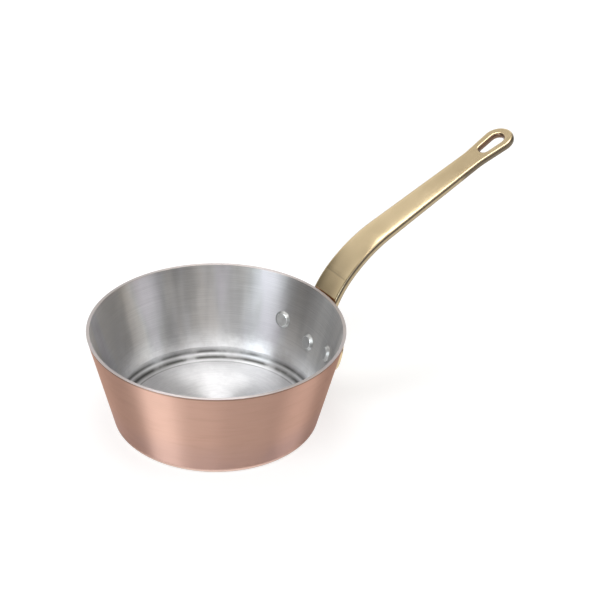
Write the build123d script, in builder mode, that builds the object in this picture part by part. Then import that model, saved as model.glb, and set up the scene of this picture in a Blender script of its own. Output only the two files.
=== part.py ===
from build123d import *
import math
import os

# A splayed copper saucepan: a spun copper body, a silver lining inside it, a cast brass
# handle that spreads into a winged flange on the wall, and three rivets through all three.
# Millimetres and degrees. The origin is the centre of the base's underside, +Z is up and
# the handle runs out along +X. A depth on the wall is measured down its outer slope from
# the rim.

# Pan
rim_radius = 92.0
base_radius = 74.0
pan_height = 73.6
copper_thickness = 1.9
lining_thickness = 0.3
base_edge_radius = 3.5
inside_corner_radius = 9.0
lip_edge_radius = 0.25

# Handle bar, from its foot on the wall to its neck, set back from the eye's centre
bar_thickness = 5.0
bar_side_flat = 0.2
foot_width = 29.5
foot_depth = 31.0
foot_sink = 0.9
takeoff_drop = 19.0
lower_bend_radius = 75.0
upper_bend_radius = 110.0
bend_change_angle = 47.0
grip_angle = 23.4
grip_length = 117.5
neck_width = 19.5
neck_setback = 24.5
neck_blend_radius = 50.0

# Eye, and its teardrop hole with both ends set back from the eye's centre
eye_radius = 12.5
hole_wide_radius = 5.15
hole_wide_setback = 0.2
hole_narrow_radius = 4.05
hole_narrow_setback = 12.95

# Flange, laid out flat as seen square to the wall behind the bar
flange_thickness = 5.0
flange_edge_radius = 1.2
ear_offset = 30.0
ear_depth = 32.0
ear_radius = 15.0
lobe_radius = 13.0
waist_radius = 8.0
shoulder_radius = 5.0
tongue_rise = 4.0

# Rivets
outer_rivet_angle = 20.25
outer_rivet_depth = 34.6
lower_rivet_depth = 41.2
shank_radius = 3.0
inner_head_radius = 6.5
inner_head_flat_radius = 4.7
inner_head_height = 2.0
inner_head_skirt = 0.4
inner_head_round = 1.0
outer_head_radius = 5.5
outer_head_height = 2.0
head_sink = 1.0

overrun = 6.0

# The slope of the wall, and the two directions that go with it in the upright section
wall_thickness = copper_thickness + lining_thickness
bar_edge_radius = (min(bar_thickness, flange_thickness - foot_sink) - bar_side_flat) / 2
wall_lean = math.atan2(rim_radius - base_radius, pan_height)
up_wall = Vector(math.sin(wall_lean), math.cos(wall_lean))
off_wall = Vector(math.cos(wall_lean), -math.sin(wall_lean))

# Upright plane through the axis whose x points away from the handle, for turned profiles
away_plane = Plane(origin=(0, 0, 0), x_dir=(-1, 0, 0), z_dir=(0, 1, 0))


def wall_point(height, inset=0):
    """Point of the upright section at a height, an inset inside the copper's outer face."""
    outer_face = base_radius + height * math.tan(wall_lean)
    return Vector(outer_face - inset / math.cos(wall_lean), height)


def on_wall(azimuth, depth):
    """Plane on the outer face: x runs round the pan, y up the slope and z straight out."""
    turn = math.radians(azimuth)
    outward = Vector(math.cos(turn), math.sin(turn))
    spot = wall_point(pan_height) - up_wall * depth
    return Plane(
        origin=outward * spot.X + Vector(0, 0, spot.Y),
        x_dir=(-math.sin(turn), math.cos(turn), 0),
        z_dir=outward * off_wall.X + Vector(0, 0, off_wall.Y),
    )


rivet_places = {
    "rivet_left": on_wall(outer_rivet_angle, outer_rivet_depth),
    "rivet_lower": on_wall(0, lower_rivet_depth),
    "rivet_right": on_wall(-outer_rivet_angle, outer_rivet_depth),
}


def drill_rivet_holes():
    """Three holes square to the wall, drilled from outside through what lies there."""
    for place in rivet_places.values():
        with Locations(place.offset(flange_thickness + overrun)):
            Hole(shank_radius, depth=flange_thickness + wall_thickness + 2 * overrun)


def below_both(one, one_reach, other, other_reach):
    """The lower of the two points that lie at given distances from two others."""
    across = other - one
    along = (across.length**2 + one_reach**2 - other_reach**2) / (2 * across.length)
    step = across.normalized()
    aside = Vector(step.Y, -step.X) * math.sqrt(one_reach**2 - along**2)
    middle = one + step * along
    return min(middle + aside, middle - aside, key=lambda spot: spot.Y)


def round_corner(sketch, corner, radius):
    """Round the corner of a sketch that lies nearest to a point."""
    fillet(sketch.vertices().sort_by_distance(Vertex(corner.X, corner.Y, 0))[0], radius)


# Copper body: a cup turned from one profile, with a rounded base edge
lining_underside = pan_height - lining_thickness
copper_top = wall_point(lining_underside)
copper_inner_top = wall_point(lining_underside, copper_thickness)
copper_inner_corner = wall_point(copper_thickness, copper_thickness)
with BuildPart() as copper_body:
    with BuildSketch(away_plane) as cup:
        with BuildLine():
            Polyline(
                (0, 0),
                (base_radius, 0),
                copper_top,
                copper_inner_top,
                copper_inner_corner,
                (0, copper_thickness),
                close=True,
            )
        make_face()
        round_corner(cup, Vector(base_radius, 0), base_edge_radius)
        round_corner(cup, copper_inner_corner, inside_corner_radius + lining_thickness)
    revolve(axis=Axis.Z)
    drill_rivet_holes()
copper_body.part.label = "copper_body"


# Inner lining: a thin skin over the whole inside, turned out over the flat lip
lining_corner = wall_point(wall_thickness, wall_thickness)
lip_corner = wall_point(pan_height, wall_thickness)
with BuildPart() as inner_lining:
    with BuildSketch(away_plane) as skin:
        with BuildLine():
            Polyline(
                (0, wall_thickness),
                lining_corner,
                lip_corner,
                wall_point(pan_height),
                copper_top,
                copper_inner_top,
                copper_inner_corner,
                (0, copper_thickness),
                close=True,
            )
        make_face()
        round_corner(skin, lining_corner, inside_corner_radius)
        round_corner(skin, copper_inner_corner, inside_corner_radius + lining_thickness)
        round_corner(skin, lip_corner, lip_edge_radius)
    revolve(axis=Axis.Z)
    drill_rivet_holes()
inner_lining.part.label = "inner_lining"


# Flange: a plate that hugs the cone of the wall, with an ear over each outer rivet, a lobe
# over the lower one and a tongue that reaches up behind the foot of the bar
flange_low = pan_height - (lower_rivet_depth + lobe_radius + overrun)
ear_top = ear_depth - ear_radius
tongue_half_width = foot_width / 2 - bar_edge_radius
tongue_top = ear_top - shoulder_radius - tongue_rise
lobe_centre = Vector(0, -lower_rivet_depth)
with BuildPart() as flange:
    with BuildSketch(away_plane):
        with BuildLine():
            Polyline(
                wall_point(flange_low),
                wall_point(flange_low, -flange_thickness),
                wall_point(pan_height, -flange_thickness),
                wall_point(pan_height),
                close=True,
            )
        make_face()
    revolve(axis=Axis.Z)
    with BuildSketch(on_wall(0, 0).offset(-rim_radius / 2)) as flange_outline:
        with Locations(lobe_centre):
            Circle(lobe_radius)
        for side in (1, -1):
            ear_centre = Vector(side * ear_offset, -ear_depth)
            waist_centre = below_both(
                ear_centre, ear_radius + waist_radius, lobe_centre, lobe_radius + waist_radius
            )
            shoulder_centre = Vector(
                side * (tongue_half_width + shoulder_radius), shoulder_radius - ear_top
            )
            with Locations(ear_centre):
                Circle(ear_radius)
            Polygon(
                (0, -tongue_top),
                (side * tongue_half_width, -tongue_top),
                (side * tongue_half_width, shoulder_centre.Y),
                shoulder_centre,
                (shoulder_centre.X, -ear_top),
                (ear_centre.X, -ear_top),
                ear_centre,
                waist_centre,
                lobe_centre,
                align=None,
            )
            with Locations(waist_centre):
                Circle(waist_radius, mode=Mode.SUBTRACT)
            with Locations(shoulder_centre):
                Circle(shoulder_radius, mode=Mode.SUBTRACT)
    extrude(amount=rim_radius, mode=Mode.INTERSECT)
    outer_face = flange.faces().filter_by(GeomType.CONE).sort_by(SortBy.AREA)[-1]
    fillet(outer_face.edges(), flange_edge_radius)


def egg(near_radius, near_x, far_radius, far_x):
    """Two circles on the sketch's x axis and the straight tangents that join them."""
    cosine = (near_radius - far_radius) / (far_x - near_x)
    touch = Vector(cosine, math.sqrt(1 - cosine**2))
    below = Vector(touch.X, -touch.Y)
    near, far = Vector(near_x, 0), Vector(far_x, 0)
    with Locations(near):
        Circle(near_radius)
    with Locations(far):
        Circle(far_radius)
    Polygon(
        near + touch * near_radius,
        near + below * near_radius,
        far + below * far_radius,
        far + touch * far_radius,
        align=None,
    )


# Handle: a flat bar that leaves the wall below the rim, bends twice and rises to a
# rounded eye with a teardrop hole, cast in one with the flange
lower_turn = bend_change_angle + math.degrees(wall_lean) - 90
upper_turn = grip_angle - bend_change_angle
takeoff = wall_point(pan_height - takeoff_drop)
back_takeoff = takeoff + off_wall * bar_thickness
foot_end = wall_point(pan_height) - up_wall * foot_depth
foot_back = foot_end + off_wall * (flange_thickness - foot_sink)
neck_distance = grip_length - neck_setback
with BuildPart() as handle:
    with BuildSketch(Plane.XZ):
        with BuildLine():
            face_low = JernArc(takeoff, up_wall, lower_bend_radius, lower_turn)
            face_high = JernArc(face_low @ 1, face_low % 1, upper_bend_radius, upper_turn)
            grip_start, along_grip = face_high @ 1, face_high % 1
            tip = grip_start + along_grip * (grip_length + eye_radius)
            back_low = JernArc(back_takeoff, up_wall, lower_bend_radius - bar_thickness, lower_turn)
            back_high = JernArc(
                back_low @ 1, back_low % 1, upper_bend_radius - bar_thickness, upper_turn
            )
            back_tip = back_high @ 1 + along_grip * (grip_length + eye_radius)
            Polyline(grip_start, tip, back_tip, back_high @ 1)
            Polyline(takeoff, foot_end, foot_back, back_takeoff)
        make_face()
    extrude(amount=foot_width, both=True)
    grip_plane = Plane(
        origin=(grip_start.X, 0, grip_start.Y),
        x_dir=(along_grip.X, 0, along_grip.Y),
        z_dir=(-along_grip.Y, 0, along_grip.X),
    )
    foot_reach = grip_plane.to_local_coords(Vector(foot_end.X, 0, foot_end.Y)).X - overrun
    with BuildSketch(grip_plane.offset(-rim_radius)) as bar_outline:
        egg(neck_width / 2, neck_distance, eye_radius, grip_length)
        Polygon(
            (foot_reach, -foot_width / 2),
            (neck_distance, -neck_width / 2),
            (neck_distance, neck_width / 2),
            (foot_reach, foot_width / 2),
            align=None,
        )
        for side in (1, -1):
            neck = Vector(neck_distance, side * neck_width / 2)
            round_corner(bar_outline, neck, neck_blend_radius)
    extrude(amount=2 * rim_radius, mode=Mode.INTERSECT)
    with BuildSketch(grip_plane.offset(overrun)):
        egg(
            hole_narrow_radius,
            grip_length - hole_narrow_setback,
            hole_wide_radius,
            grip_length - hole_wide_setback,
        )
    extrude(amount=-(bar_thickness + 2 * overrun), mode=Mode.SUBTRACT)
    rails = handle.edges() - handle.edges().filter_by(Axis.Y)
    rails -= rails.filter_by(Axis(grip_plane.origin, grip_plane.z_dir))
    rails -= handle.faces().sort_by(Axis.Z)[0].edges()
    fillet(rails, bar_edge_radius)
    add(flange.part)
    drill_rivet_holes()
handle.part.label = "handle"


# Rivets: a flat-topped head inside, a shank through lining, copper and flange, and a low
# dome outside, with both heads trimmed to the curved faces that they sit on
with BuildPart() as wall_stack:
    with BuildSketch(away_plane):
        with BuildLine():
            Polyline(
                wall_point(0, wall_thickness),
                wall_point(0, -flange_thickness),
                wall_point(pan_height, -flange_thickness),
                wall_point(pan_height, wall_thickness),
                close=True,
            )
        make_face()
    revolve(axis=Axis.Z)

inner_top = -wall_thickness - inner_head_height
outer_top = flange_thickness + outer_head_height
head_shoulder = Vector(inner_head_flat_radius, inner_top)
dome_rim = Vector(outer_head_radius, flange_thickness)
dome_radius = (outer_head_radius**2 + outer_head_height**2) / (2 * outer_head_height)
rivets = {}
for name, place in rivet_places.items():
    with BuildPart() as rivet:
        with BuildSketch(Plane(place.origin, x_dir=place.x_dir, z_dir=-place.y_dir)) as heads:
            with BuildLine():
                Polyline(
                    (0, head_sink - wall_thickness),
                    (inner_head_radius, head_sink - wall_thickness),
                    (inner_head_radius, -wall_thickness - inner_head_skirt),
                    head_shoulder,
                    (0, inner_top),
                    close=True,
                )
            make_face()
            round_corner(heads, head_shoulder, inner_head_round)
            with BuildLine():
                Polyline(
                    (0, outer_top),
                    (0, flange_thickness - head_sink),
                    (outer_head_radius, flange_thickness - head_sink),
                    dome_rim,
                )
                RadiusArc(dome_rim, (0, outer_top), -dome_radius)
            make_face()
        revolve(axis=Axis(place.origin, place.z_dir))
        add(wall_stack.part, mode=Mode.SUBTRACT)
        shank_end = inner_top + inner_head_height / 2
        with Locations(place.offset(shank_end)):
            Cylinder(
                shank_radius,
                outer_top - outer_head_height / 2 - shank_end,
                align=(Align.CENTER, Align.CENTER, Align.MIN),
            )
    rivet.part.label = name
    rivets[name] = rivet.part

os.makedirs("parts", exist_ok=True)
export_step(copper_body.part, "parts/copper_body.step")
export_step(inner_lining.part, "parts/inner_lining.step")
export_step(handle.part, "parts/handle.step")
for name, rivet_part in rivets.items():
    export_step(rivet_part, f"parts/{name}.step")
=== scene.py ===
import math
from collections import namedtuple

import bpy
from mathutils import Matrix, Vector


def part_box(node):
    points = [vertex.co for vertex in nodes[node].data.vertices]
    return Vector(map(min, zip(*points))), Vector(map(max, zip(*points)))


# Looks of a splayed copper saucepan with a brass handle. Metres, in the part's own frame:
# the origin is the centre of the base's underside and the handle runs out along +X.

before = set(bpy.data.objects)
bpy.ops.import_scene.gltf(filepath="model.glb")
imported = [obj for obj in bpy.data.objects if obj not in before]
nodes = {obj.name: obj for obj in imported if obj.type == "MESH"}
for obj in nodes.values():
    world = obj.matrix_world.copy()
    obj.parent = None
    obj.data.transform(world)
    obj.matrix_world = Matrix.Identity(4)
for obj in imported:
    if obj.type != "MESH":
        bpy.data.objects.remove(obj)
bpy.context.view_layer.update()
rim_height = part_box("inner_lining")[1].z

# Camera: the photograph's long lens, set by the direction it looks from, its distance from
# the centre of the rim, and how far its axis is turned off that centre
VIEW_AZIMUTH = math.radians(-32)
VIEW_ELEVATION = math.radians(31.58)
VIEW_DISTANCE = 1.1353
AXIS_YAW = math.radians(-2.978)
AXIS_PITCH = math.radians(0.962)
AXIS_ROLL = math.radians(0.096)
SENSOR_WIDTH = 36
LENS = 96


def direction(azimuth, elevation):
    """Unit vector from the object towards an azimuth and elevation, as the views count them."""
    flat = math.cos(elevation)
    return Vector((math.sin(azimuth) * flat, -math.cos(azimuth) * flat, math.sin(elevation)))


def make_camera():
    data = bpy.data.cameras.new("camera")
    data.sensor_width = SENSOR_WIDTH
    data.lens = LENS
    camera = bpy.data.objects.new("camera", data)
    bpy.context.scene.collection.objects.link(camera)
    back = direction(VIEW_AZIMUTH, VIEW_ELEVATION)
    aim = (-back).to_track_quat("-Z", "Y").to_matrix()
    turn = Matrix.Rotation(AXIS_YAW, 3, "Y") @ Matrix.Rotation(AXIS_PITCH, 3, "X")
    turn = turn @ Matrix.Rotation(AXIS_ROLL, 3, "Z")
    camera.matrix_world = (aim @ turn).to_4x4()
    camera.location = Vector((0, 0, rim_height)) + back * VIEW_DISTANCE
    bpy.context.scene.camera = camera


class Nodes:
    """A node tree with short calls for making nodes and joining them."""

    def __init__(self, tree):
        self.tree = tree
        tree.nodes.clear()

    def put(self, socket, value):
        if isinstance(value, bpy.types.NodeSocket):
            self.tree.links.new(value, socket)
        else:
            socket.default_value = value

    def add(self, kind, inputs=None, **settings):
        """A new shader node. inputs maps socket names or numbers to values or other sockets."""
        node = self.tree.nodes.new("ShaderNode" + kind)
        for name, value in settings.items():
            setattr(node, name, value)
        for name, value in (inputs or {}).items():
            self.put(node.inputs[name], value)
        return node

    def maths(self, operation, *values, clamp=False):
        inputs = dict(enumerate(values))
        return self.add("Math", inputs, operation=operation, use_clamp=clamp).outputs[0]

    def product(self, first, *others):
        for other in others:
            first = self.maths("MULTIPLY", first, other)
        return first

    def vector(self, operation, *values):
        node = self.add("VectorMath", dict(enumerate(values)), operation=operation)
        return node.outputs["Value" if operation in ("DOT_PRODUCT", "LENGTH") else "Vector"]

    def split(self, vector):
        """The X, Y and Z of a vector."""
        outputs = self.add("SeparateXYZ", {0: vector}).outputs
        return outputs["X"], outputs["Y"], outputs["Z"]

    def join(self, x, y, z=0.0):
        return self.add("CombineXYZ", {0: x, 1: y, 2: z}).outputs[0]

    def spread(self, value, low, high, to_low=0.0, to_high=1.0, smooth=True):
        """Value carried from low..high to to_low..to_high, and held at the ends. low may be the
        larger, for a value that falls."""
        inputs = {"Value": value, "From Min": low, "From Max": high}
        inputs.update({"To Min": to_low, "To Max": to_high})
        kind = "SMOOTHSTEP" if smooth else "LINEAR"
        return self.add("MapRange", inputs, interpolation_type=kind).outputs["Result"]

    def noise(self, place, scale, detail=2.0, roughness=0.5):
        inputs = {"Vector": place, "Scale": scale, "Detail": detail, "Roughness": roughness}
        return self.add("TexNoise", inputs).outputs[0]

    def blend(self, factor, one, other):
        """Colours one and other mixed by factor."""
        inputs = {"Factor": factor, 6: one, 7: other}
        return self.add("Mix", inputs, data_type="RGBA").outputs[2]

    def bump(self, height, distance, strength=1.0, under=None):
        """A bump, laid over the one under it if there is one."""
        inputs = {"Strength": strength, "Distance": distance, "Height": height}
        if under is not None:
            inputs["Normal"] = under
        return self.add("Bump", inputs).outputs[0]

    def metal(self, tone, roughness, normal, more=None):
        """A metal joined to the material's output. more holds further inputs of its shader."""
        inputs = {"Base Color": tone, "Metallic": 1.0, "Roughness": roughness, "Normal": normal}
        inputs.update(more or {})
        shader = self.add("BsdfPrincipled", inputs)
        self.add("OutputMaterial", {"Surface": shader.outputs[0]})


# Ranges, here and below, are what spread takes: a value's start and end, and what they become.
# Where the last two are left out, they become 0 and 1.

# Surroundings. Fades by height run over the sine of the elevation, the others over the cosine
# of the angle off their own direction.
WHITE = (1, 1, 1, 1)
ROOM_COLOUR = (1, 0.97, 0.93, 1)
BACKDROP_AZIMUTH = math.radians(156)
BACKDROP_SIDES = (math.cos(math.radians(82)), math.cos(math.radians(30)))
BACKDROP_TOP = (math.sin(math.radians(60)), math.sin(math.radians(35)))
SIDE_BRIGHTNESS = 0.16
HIGH_BRIGHTNESS = 0.7
CEILING_RISE = (math.sin(math.radians(35)), math.sin(math.radians(65)),
                SIDE_BRIGHTNESS, HIGH_BRIGHTNESS)
CAMERA_SIDE_BRIGHTNESS = 0.1
CAMERA_SIDE_AZIMUTH = math.radians(4)
CAMERA_SIDE_ELEVATION = math.radians(14)
CAMERA_SIDE_FADE = (math.cos(math.radians(52)), math.cos(math.radians(24)))


def make_world():
    """A studio. To the camera it is white all round. To metal it is white behind the pan,
    paler overhead than at its sides, and dark on the camera's side."""
    world = bpy.data.worlds.new("studio")
    world.use_nodes = True
    bpy.context.scene.world = world
    n = Nodes(world.node_tree)
    looking = n.add("TexCoord").outputs["Generated"]
    x, y, height = n.split(looking)
    behind = direction(BACKDROP_AZIMUTH, 0)
    facing = n.vector("DOT_PRODUCT", n.vector("NORMALIZE", n.join(x, y)), tuple(behind))
    backdrop = n.product(n.spread(facing, *BACKDROP_SIDES), n.spread(height, *BACKDROP_TOP))
    ceiling = n.spread(height, *CEILING_RISE)
    dark_side = direction(CAMERA_SIDE_AZIMUTH, CAMERA_SIDE_ELEVATION)
    nearness = n.vector("DOT_PRODUCT", looking, tuple(dark_side))
    dark = n.spread(nearness, *CAMERA_SIDE_FADE)
    level = n.add("Mix", {"Factor": dark, 2: ceiling, 3: CAMERA_SIDE_BRIGHTNESS}).outputs[0]
    room = n.add("Background", {"Color": ROOM_COLOUR, "Strength": level})
    plain = n.add("Background", {"Color": WHITE, "Strength": 1.0})
    rays = n.add("LightPath").outputs
    mirrored = n.maths("ADD", rays["Is Glossy Ray"], rays["Is Transmission Ray"], clamp=True)
    shown = n.maths("ADD", rays["Is Camera Ray"], n.product(mirrored, backdrop), clamp=True)
    both = n.add("MixShader", {0: shown, 1: room.outputs[0], 2: plain.outputs[0]})
    n.add("OutputWorld", {"Surface": both.outputs[0]})


# Softboxes: azimuth and elevation in degrees, width, height, brightness and colour.
# The brightness is what a mirror shows of one, where 1 is white.
LAMP_DISTANCE = 1.3
LAMPS = {
    "softbox_left": (-82, 27, 0.68, 1.0, 3.45, (0.87, 0.95, 1)),
    "softbox_fill": (-50, 38, 0.6, 0.7, 1.5, (0.97, 1, 1)),
    "softbox_right": (46, 28, 0.68, 0.8, 1.35, (1, 1, 1)),
    "softbox_front": (-6, 60, 0.9, 0.5, 2.5, (1, 1, 1)),
    "softbox_back": (162, 70, 0.75, 0.4, 5.0, (1, 1, 1)),
}


def make_lamp(name, azimuth, elevation, width, height, brightness, colour):
    """A softbox facing the pan."""
    data = bpy.data.lights.new(name, "AREA")
    data.shape = "RECTANGLE"
    data.size = width
    data.size_y = height
    data.color = colour
    data.energy = brightness * math.pi * width * height
    lamp = bpy.data.objects.new(name, data)
    bpy.context.scene.collection.objects.link(lamp)
    towards = direction(math.radians(azimuth), math.radians(elevation))
    lamp.location = towards * LAMP_DISTANCE
    lamp.rotation_euler = towards.to_track_quat("Z", "Y").to_euler()
    lamp.visible_camera = False


# Floor: its side, its colour, its glow for plain light and for what is seen or mirrored, and
# the glow that the camera alone gets on top of that far off
FLOOR_SIZE = 8.0
FLOOR_DIFFUSE = (0.5, 0.5, 0.5, 1)
FLOOR_GLOWS = (0.5, 0.6)
FLOOR_FAR_GLOW = (0.35, 1.3, 0, 0.4)


def new_material(name):
    material = bpy.data.materials.new(name)
    material.use_nodes = True
    return material, Nodes(material.node_tree)


def make_floor():
    """A pale floor that shows white and keeps the pan's soft shadow. It fades to white far off."""
    half = FLOOR_SIZE / 2
    mesh = bpy.data.meshes.new("floor")
    mesh.from_pydata([(-half, -half, 0), (half, -half, 0), (half, half, 0), (-half, half, 0)], [],
                     [(0, 1, 2, 3)])
    floor = bpy.data.objects.new("floor", mesh)
    bpy.context.scene.collection.objects.link(floor)
    material, n = new_material("floor")
    diffuse = n.add("BsdfDiffuse", {"Color": FLOOR_DIFFUSE})
    rays = n.add("LightPath").outputs
    mirrored = n.maths("ADD", rays["Is Glossy Ray"], rays["Is Transmission Ray"])
    shown = n.maths("ADD", mirrored, rays["Is Camera Ray"], clamp=True)
    level = n.spread(shown, 0.0, 1.0, *FLOOR_GLOWS, smooth=False)
    distance = n.vector("LENGTH", n.add("TexCoord").outputs["Object"])
    far = n.product(n.spread(distance, *FLOOR_FAR_GLOW), rays["Is Camera Ray"])
    glow = n.add("Emission", {"Color": WHITE, "Strength": n.maths("ADD", level, far)})
    both = n.add("AddShader", {0: diffuse.outputs[0], 1: glow.outputs[0]})
    n.add("OutputMaterial", {"Surface": both.outputs[0]})
    mesh.materials.append(material)


# What all metals share. A cloud is a noise's scale, detail and roughness.
CLOUD_RANGE = (0.3, 0.7)
LINE_NOISE = (1.0, 3.0, 0.6)
LINE_DEPTH = 0.0001
ACROSS_BRUSHING = 0.25

# A place on the turned pan: its coordinates, height, radius, length along the pan's profile, and
# x and y that run round the axis without a seam
Place = namedtuple("Place", "spot z radius along x y")


def turned_place(n, around):
    """The Place of a turned metal. around says how fast its pattern changes round the pan."""
    spot = n.add("TexCoord").outputs["Object"]
    x, y, z = n.split(spot)
    flat = n.join(x, y)
    radius = n.vector("LENGTH", flat)
    unit_x, unit_y, _ = n.split(n.vector("NORMALIZE", flat))
    along = n.maths("ADD", radius, z)
    return Place(spot, z, radius, along, n.product(unit_x, around), n.product(unit_y, around))


def brushed(n, place, pitch):
    """Fine lines round the pan, pitch metres apart."""
    lines = n.join(place.x, place.y, n.maths("DIVIDE", place.along, pitch))
    return n.noise(lines, *LINE_NOISE)


def up_wall(n, amount):
    """Shader inputs that stretch a metal's highlights up the wall, across its brushing."""
    tangent = n.add("Tangent", direction_type="RADIAL", axis="Z").outputs[0]
    return {"Anisotropic": amount, "Anisotropic Rotation": ACROSS_BRUSHING, "Tangent": tangent}


def satin(n, cloud, limits, *shares):
    """Roughness that follows cloud between two limits, plus a share of each further pattern."""
    roughness = n.spread(cloud, *CLOUD_RANGE, *limits)
    for pattern, share in shares:
        roughness = n.maths("ADD", roughness, n.product(pattern, share))
    return roughness


# Copper: its pattern, tones, roughness and bumps, from the lip down to the base edge
COPPER_AROUND = 3.0
COPPER_FINE_PITCH = 0.00035
COPPER_COARSE_PITCH = 0.004
COPPER_CLOUD = (22.0, 3.0, 0.55)
COPPER_TONES = ((0.67, 0.42, 0.33, 1), (0.73, 0.465, 0.37, 1))
COPPER_FINE_LINES = (0.35, 0.75, 0, 0.2)
COPPER_FINE_TONE = (0.82, 0.6, 0.5, 1)
COPPER_COARSE_LINES = (0.45, 0.75, 0, 0.15)
COPPER_COARSE_TONE = (0.54, 0.31, 0.235, 1)
# Painted shade: darker, cooler copper towards the base, in patches
COPPER_LOW_SHADE = (0.034, 0.008, 0, 0.7)
COPPER_LOW_SHADE_CLOUD = (0.35, 0.6, 0.5, 1.0)
COPPER_LOW_SHADE_TONE = (0.61, 0.41, 0.375, 1)
# Painted shade: a dark line just under the lip
UNDER_LIP_SHADE = (rim_height - 0.0021, rim_height - 0.0008, 0, 0.6)
UNDER_LIP_SHADE_TONE = (0.24, 0.12, 0.09, 1)
# Painted highlight: a pale band on the rounded base edge; its polish below is real roughness
BASE_EDGE_HIGHLIGHT = (0.0036, 0.002, 0, 0.75)
BASE_EDGE_HIGHLIGHT_TONE = (0.95, 0.78, 0.68, 1)
BASE_EDGE_POLISH = (0.003, 0.0045, 0.3, 1.0)
COPPER_ROUGHNESS = (0.44, 0.5)
COPPER_FINE_GRAIN = 0.08
COPPER_COARSE_GRAIN = 0.05
COPPER_LINE_STRENGTH = 0.12
COPPER_WAVE_DEPTH = 0.00006
COPPER_STRETCH = 1.0
COPPER_EDGE_TINT = (0.3, 0.27, 0.26, 1)


def copper():
    """Copper brushed round the wall, with painted shade under the lip and near the base, and a
    polished base edge with a painted highlight.
    """
    material, n = new_material("copper")
    place = turned_place(n, COPPER_AROUND)
    fine = brushed(n, place, COPPER_FINE_PITCH)
    coarse = brushed(n, place, COPPER_COARSE_PITCH)
    cloud = n.noise(place.spot, *COPPER_CLOUD)
    tone = n.blend(n.spread(cloud, *CLOUD_RANGE), *COPPER_TONES)
    tone = n.blend(n.spread(fine, *COPPER_FINE_LINES), tone, COPPER_FINE_TONE)
    tone = n.blend(n.spread(coarse, *COPPER_COARSE_LINES), tone, COPPER_COARSE_TONE)
    # Painted shade low on the wall
    low = n.product(n.spread(place.z, *COPPER_LOW_SHADE), n.spread(cloud, *COPPER_LOW_SHADE_CLOUD))
    tone = n.blend(low, tone, COPPER_LOW_SHADE_TONE)
    # Painted shade under the lip
    tone = n.blend(n.spread(place.z, *UNDER_LIP_SHADE), tone, UNDER_LIP_SHADE_TONE)
    # Painted highlight on the base edge
    tone = n.blend(n.spread(place.z, *BASE_EDGE_HIGHLIGHT), tone, BASE_EDGE_HIGHLIGHT_TONE)
    roughness = satin(n, cloud, COPPER_ROUGHNESS, (fine, COPPER_FINE_GRAIN),
                      (coarse, COPPER_COARSE_GRAIN))
    roughness = n.product(roughness, n.spread(place.z, *BASE_EDGE_POLISH))
    lines = n.bump(fine, LINE_DEPTH, COPPER_LINE_STRENGTH)
    waves = n.bump(coarse, COPPER_WAVE_DEPTH, under=lines)
    more = up_wall(n, COPPER_STRETCH)
    more["Specular Tint"] = COPPER_EDGE_TINT
    n.metal(tone, roughness, waves, more)
    return material


# Lining: its pattern and the tones of its wall, with painted reflections running in bands up the
# wall
LINING_AROUND = 3.5
LINING_FINE_PITCH = 0.0003
LINING_COARSE_PITCH = 0.0011
LINING_CLOUD = (30.0, 5.0, 0.65)
BANDS_ALONG = 6.0
# Painted reflections: dark, warm and cool bands up the wall
DARK_REFLECTION_BANDS = (1.3, 2.5, 0.5)
TINT_REFLECTION_BANDS = (0.9, 2.0, 0.5)
LINING_TONES = ((0.58, 0.58, 0.595, 1), (0.7, 0.7, 0.715, 1))
LINING_WALL = (0.004, 0.02)
WARM_RANGE = (0.4, 0.6, 0, 0.6)
WARM_REFLECTION_TONE = (0.68, 0.64, 0.59, 1)
DARK_RANGE = (0.42, 0.64, 0, 0.6)
DARK_REFLECTION_TONE = (0.38, 0.375, 0.37, 1)
COOL_RANGE = (0.5, 0.35, 0, 0.7)
COOL_REFLECTION_TONE = (0.65, 0.61, 0.655, 1)

# Darker by the handle's rivets, brighter low on the wall
BY_HANDLE = (2.7, 3.4, 0, 0.6)
BY_HANDLE_HEIGHT = (0.025, 0.055)
BY_HANDLE_TONE = (0.4, 0.39, 0.38, 1)
LINING_LOW = (0.032, 0.012, 0, 0.85)
LINING_LOW_CLOUD = (0.4, 0.6, 0.3, 1.0)
LINING_OFF_FLOOR = (0.001, 0.006, 0.25, 1.0)
LINING_LOW_TONE = (0.9, 0.9, 0.91, 1)

# Its brushing, and a darker, pinkish tone at the lip
LINING_FINE_LINES = (0.35, 0.75, 0, 0.3)
LINING_FINE_TONE = (0.88, 0.88, 0.88, 1)
LINING_COARSE_LINES = (0.4, 0.75, 0, 0.16)
LINING_COARSE_TONE = (0.4, 0.4, 0.41, 1)
LIP = (rim_height - 0.0006, rim_height - 0.0002, 0, 0.7)
LIP_TONE = (0.5, 0.44, 0.42, 1)

# Painted shade: dark rings round the corner of the floor: radius, half width and how dark
CORNER_SHADE_RINGS = ((0.0698, 0.0026, 0.99), (0.0731, 0.0012, 0.85), (0.0658, 0.0009, 0.5))
RING_HEIGHT = (0.02, 0.015)
RING_BREAKS = (40.0, 4.0, 0.5)
RING_BREAK_RANGE = (0.36, 0.56, 0.45, 1.0)
CORNER_SHADE_TONE = (0.1, 0.1, 0.095, 1)

LINING_ROUGHNESS = (0.28, 0.36)
LINING_FINE_GRAIN = 0.1
LINING_COARSE_GRAIN = 0.08
LINING_LINE_STRENGTH = 0.15
LINING_WAVE_DEPTH = 0.00015
LINING_STRETCH = 0.88

# The wall begins to turn in softly above the corner
SWELL_NOISE = (24.0, 1.0, 0.5)
SWELL_TOPS = (0.021, 0.023)
SWELL_HEIGHT = 0.0115
SWELL_SLOPE = 0.44


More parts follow.
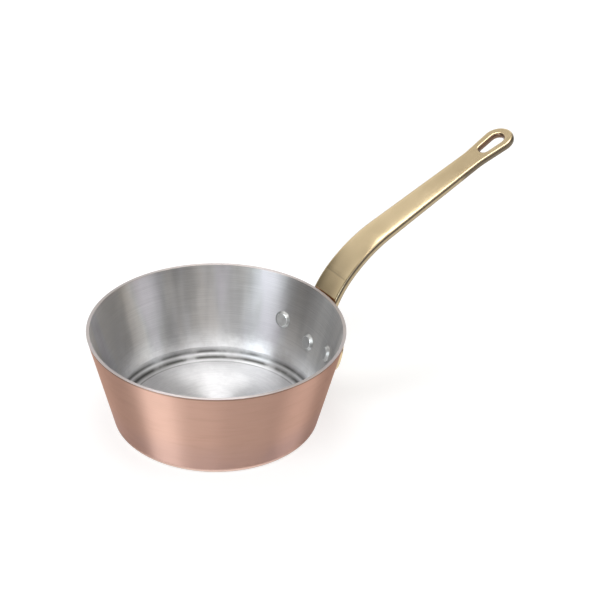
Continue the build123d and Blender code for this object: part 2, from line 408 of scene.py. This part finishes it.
def lining():
    """Silver-coloured metal brushed round the wall and floor, with painted reflection bands up the
    wall and painted shade rings in the floor's corner.
    """
    material, n = new_material("lining")
    place = turned_place(n, LINING_AROUND)
    fine = brushed(n, place, LINING_FINE_PITCH)
    coarse = brushed(n, place, LINING_COARSE_PITCH)
    cloud = n.noise(place.spot, *LINING_CLOUD)
    # Painted reflections: dark, warm and cool streaks up the wall
    band_place = n.join(place.x, place.y, n.product(place.along, BANDS_ALONG))
    reflection_bands = n.noise(band_place, *DARK_REFLECTION_BANDS)
    reflection_tint = n.noise(band_place, *TINT_REFLECTION_BANDS)
    wall = n.spread(place.z, *LINING_WALL)
    tone = n.blend(n.spread(cloud, *CLOUD_RANGE), *LINING_TONES)
    tone = n.blend(n.product(n.spread(reflection_tint, *WARM_RANGE), wall), tone, WARM_REFLECTION_TONE)
    tone = n.blend(n.product(n.spread(reflection_bands, *DARK_RANGE), wall), tone, DARK_REFLECTION_TONE)
    tone = n.blend(n.product(n.spread(reflection_tint, *COOL_RANGE), wall), tone, COOL_REFLECTION_TONE)
    by_handle = n.product(n.spread(place.x, *BY_HANDLE), n.spread(place.z, *BY_HANDLE_HEIGHT))
    tone = n.blend(by_handle, tone, BY_HANDLE_TONE)
    low = n.product(n.spread(place.z, *LINING_LOW), n.spread(cloud, *LINING_LOW_CLOUD),
                    n.spread(place.z, *LINING_OFF_FLOOR))
    tone = n.blend(low, tone, LINING_LOW_TONE)
    tone = n.blend(n.spread(fine, *LINING_FINE_LINES), tone, LINING_FINE_TONE)
    tone = n.blend(n.spread(coarse, *LINING_COARSE_LINES), tone, LINING_COARSE_TONE)
    # Painted shade: dark rings round the corner of the floor
    broken = n.spread(n.noise(place.spot, *RING_BREAKS), *RING_BREAK_RANGE)
    inside = n.spread(place.z, *RING_HEIGHT)
    for ring_radius, width, depth in CORNER_SHADE_RINGS:
        off_ring = n.maths("ABSOLUTE", n.maths("SUBTRACT", place.radius, ring_radius))
        ring = n.product(n.spread(off_ring, width, 0.0), inside, broken, depth)
        tone = n.blend(ring, tone, CORNER_SHADE_TONE)
    tone = n.blend(n.spread(place.z, *LIP), tone, LIP_TONE)
    roughness = satin(n, cloud, LINING_ROUGHNESS, (fine, LINING_FINE_GRAIN),
                      (coarse, LINING_COARSE_GRAIN))
    lines = n.bump(fine, LINE_DEPTH, LINING_LINE_STRENGTH)
    waves = n.bump(cloud, LINING_WAVE_DEPTH, under=lines)
    swell_top = n.spread(n.noise(place.spot, *SWELL_NOISE), *CLOUD_RANGE, *SWELL_TOPS)
    below = n.maths("MAXIMUM", n.maths("SUBTRACT", swell_top, place.z), 0.0)
    below = n.maths("MINIMUM", below, SWELL_HEIGHT)
    swell = n.product(n.maths("POWER", below, 2.0), SWELL_SLOPE / (2 * SWELL_HEIGHT))
    n.metal(tone, roughness, n.bump(swell, 1.0, under=waves), up_wall(n, LINING_STRETCH))
    return material


# Brass: its pattern and tones
BRASS_CLOUD = (30.0, 2.0, 0.5)
SCRATCH_STRETCH = (60, 900, 300)
BRASS_TONES = ((0.67, 0.53, 0.32, 1), (0.73, 0.585, 0.365, 1))
SCRATCHES = (0.5, 0.8, 0, 0.2)
SCRATCH_TONE = (0.84, 0.72, 0.5, 1)
BRASS_ROUGHNESS = (0.14, 0.2)
SCRATCH_GRAIN = 0.08
SIDE_GRAIN = 0.2
SCRATCH_STRENGTH = 0.05
BRASS_WAVE_DEPTH = 0.0002

# Painted shade on its sides: where the bar above the rim turns to face sideways, round the eye,
# and along the bar's left edge by the rim. GRIP_NORMAL is square to the grip's face.
SIDE_SHADE_TONE = (0.14, 0.115, 0.085, 1)
SIDE_TURN = (0.3, 0.6, 0, 0.95)
SIDE_MIDDLE = (0.99, 0.88, 0.5, 1.0)
ABOVE_RIM = (0.062, 0.074)
GRIP_NORMAL = (-0.397, 0, 0.918)
EYE_TURN = (0.75, 0.45, 0, 0.9)
EYE_START = (0.2, 0.215)
INNER_FACE = (0.1, -0.1)
LEFT_EDGE = (0.0112, 0.0132, 0, 0.85)
LEFT_EDGE_END = (0.122, 0.104)

# Painted shade on the wall of the eye's hole
HOLE_SHADE_TONE = (0.2, 0.125, 0.085, 1)
HOLE_SIDES = (0.0078, 0.0068)
HOLE_START = (0.22, 0.23)
HOLE_END = (0.26, 0.258)
HOLE_TURN = (0.985, 0.85, 0, 0.92)

# Crown of the polished face: its slope at the edge of the crown's half width. By the rim the
# face is dished instead, and before the eye it is flat.
CROWN_SLOPE = 0.16
CROWN_HALF_WIDTH = 0.0115
CROWN_REACH = 1.3 * CROWN_HALF_WIDTH
CROWN_START = (0.104, 0.14, -0.7, 1.0)
CROWN_END = (0.232, 0.212)

# Crease across the bar just beyond the rim, where the foot's forging ends, with a painted
# reflection: a dark line along it
CREASE_X = 0.1035
CREASE_SLOPE = 0.1
CREASE_RANGE = (0.0007, 0.0, 0, 0.22)


def brass():
    """Polished cast brass: crowned across the grip, dished by the rim, with painted shade on its
    sides and in the eye's hole, and a painted reflection line at the crease.
    """
    material, n = new_material("brass")
    spot = n.add("TexCoord").outputs["Object"]
    x, y, z = n.split(spot)
    off_middle = n.maths("ABSOLUTE", y)
    cloud = n.noise(spot, *BRASS_CLOUD)
    scratch = n.noise(n.vector("MULTIPLY", spot, SCRATCH_STRETCH), *LINE_NOISE)
    tone = n.blend(n.spread(cloud, *CLOUD_RANGE), *BRASS_TONES)
    tone = n.blend(n.spread(scratch, *SCRATCHES), tone, SCRATCH_TONE)

    # Painted shade on the sides, round the eye and along the left edge by the rim
    normal = n.add("NewGeometry").outputs["Normal"]
    normal_x, normal_y, _ = n.split(normal)
    sideways = n.maths("ABSOLUTE", normal_y)
    flat = n.maths("ABSOLUTE", n.vector("DOT_PRODUCT", normal, GRIP_NORMAL))
    inner_face = n.spread(normal_x, *INNER_FACE)
    above = n.spread(z, *ABOVE_RIM)
    turned = n.product(n.spread(sideways, *SIDE_TURN), n.spread(sideways, *SIDE_MIDDLE), above)
    at_eye = n.product(n.spread(flat, *EYE_TURN), n.spread(x, *EYE_START))
    left_edge = n.product(n.spread(y, *LEFT_EDGE), n.spread(x, *LEFT_EDGE_END), inner_face, above)
    painted_side_shade = n.maths("MAXIMUM", n.maths("MAXIMUM", turned, at_eye), left_edge)
    tone = n.blend(painted_side_shade, tone, SIDE_SHADE_TONE)
    # Painted shade on the wall of the eye's hole
    hole_shade = n.product(n.spread(off_middle, *HOLE_SIDES), n.spread(x, *HOLE_START),
                        n.spread(x, *HOLE_END), n.spread(flat, *HOLE_TURN))
    tone = n.blend(hole_shade, tone, HOLE_SHADE_TONE)
    # Painted reflection: a dark line along the crease
    off_crease = n.maths("ABSOLUTE", n.maths("SUBTRACT", x, CREASE_X))
    tone = n.blend(n.product(n.spread(off_crease, *CREASE_RANGE), inner_face), tone, SIDE_SHADE_TONE)
    roughness = satin(n, cloud, BRASS_ROUGHNESS, (scratch, SCRATCH_GRAIN), (painted_side_shade, SIDE_GRAIN))

    drop = n.product(n.maths("POWER", n.maths("MINIMUM", off_middle, CROWN_REACH), 3.0),
                     -CROWN_SLOPE / (3 * CROWN_HALF_WIDTH**2))
    crown = n.product(drop, n.spread(x, *CROWN_START), n.spread(x, *CROWN_END))
    below = n.maths("MAXIMUM", n.maths("SUBTRACT", CREASE_X, x), 0.0)
    crown = n.maths("ADD", crown, n.product(below, CREASE_SLOPE))
    lines = n.bump(scratch, LINE_DEPTH, SCRATCH_STRENGTH)
    waves = n.bump(cloud, BRASS_WAVE_DEPTH, under=lines)
    n.metal(tone, roughness, n.bump(crown, 1.0, under=waves))
    return material


# Rivets. The heads inside face square off the leaning wall: to the axis and a little up.
WALL_LEAN = math.radians(13.74)
RIVET_CLOUD = (180.0, 3.0, 0.5)
RIVET_FINE = (1500.0, 2.0, 0.5)
RIVET_TONES = ((0.5, 0.5, 0.49, 1), (0.62, 0.62, 0.61, 1))
EDGE_INNER = (0.99, 0.96)
EDGE_OUTER = (0.76, 0.86)
# Painted highlight on the rounded edge of the heads inside
EDGE_HIGHLIGHT_TONE = (0.92, 0.92, 0.91, 1)
RIVET_ROUGHNESS = (0.3, 0.38)
RIVET_GRAIN = 0.12
EDGE_GRAIN = -0.12
RIVET_BUMP_STRENGTH = 0.2


def rivet_metal():
    """Rivets: dull discs like the wall, with a smoother edge round the heads inside that carries a
    painted highlight.
    """
    material, n = new_material("rivet_metal")
    spot = n.add("TexCoord").outputs["Object"]
    x, y, _ = n.split(spot)
    outward = n.vector("NORMALIZE", n.join(x, y))
    inward = n.vector("MULTIPLY", outward, (-math.cos(WALL_LEAN),) * 3)
    square = n.vector("ADD", inward, (0, 0, math.sin(WALL_LEAN)))
    facing = n.vector("DOT_PRODUCT", n.add("NewGeometry").outputs["Normal"], square)
    # Painted highlight, with smoother metal, on the edge of the heads inside
    edge = n.product(n.spread(facing, *EDGE_INNER), n.spread(facing, *EDGE_OUTER))
    cloud = n.noise(spot, *RIVET_CLOUD)
    fine = n.noise(spot, *RIVET_FINE)
    tone = n.blend(n.spread(cloud, *CLOUD_RANGE), *RIVET_TONES)
    tone = n.blend(edge, tone, EDGE_HIGHLIGHT_TONE)
    roughness = satin(n, cloud, RIVET_ROUGHNESS, (fine, RIVET_GRAIN), (edge, EDGE_GRAIN))
    n.metal(tone, roughness, n.bump(fine, LINE_DEPTH, RIVET_BUMP_STRENGTH))
    return material


def dress(node, material):
    for slot in nodes[node].material_slots:
        slot.material = material


make_camera()
make_world()
make_floor()
for lamp_name, settings in LAMPS.items():
    make_lamp(lamp_name, *settings)

dress("copper_body", copper())
dress("inner_lining", lining())
dress("handle", brass())
rivets = rivet_metal()
for rivet in ("rivet_left", "rivet_lower", "rivet_right"):
    dress(rivet, rivets)

bpy.context.scene.view_settings.view_transform = "Standard"
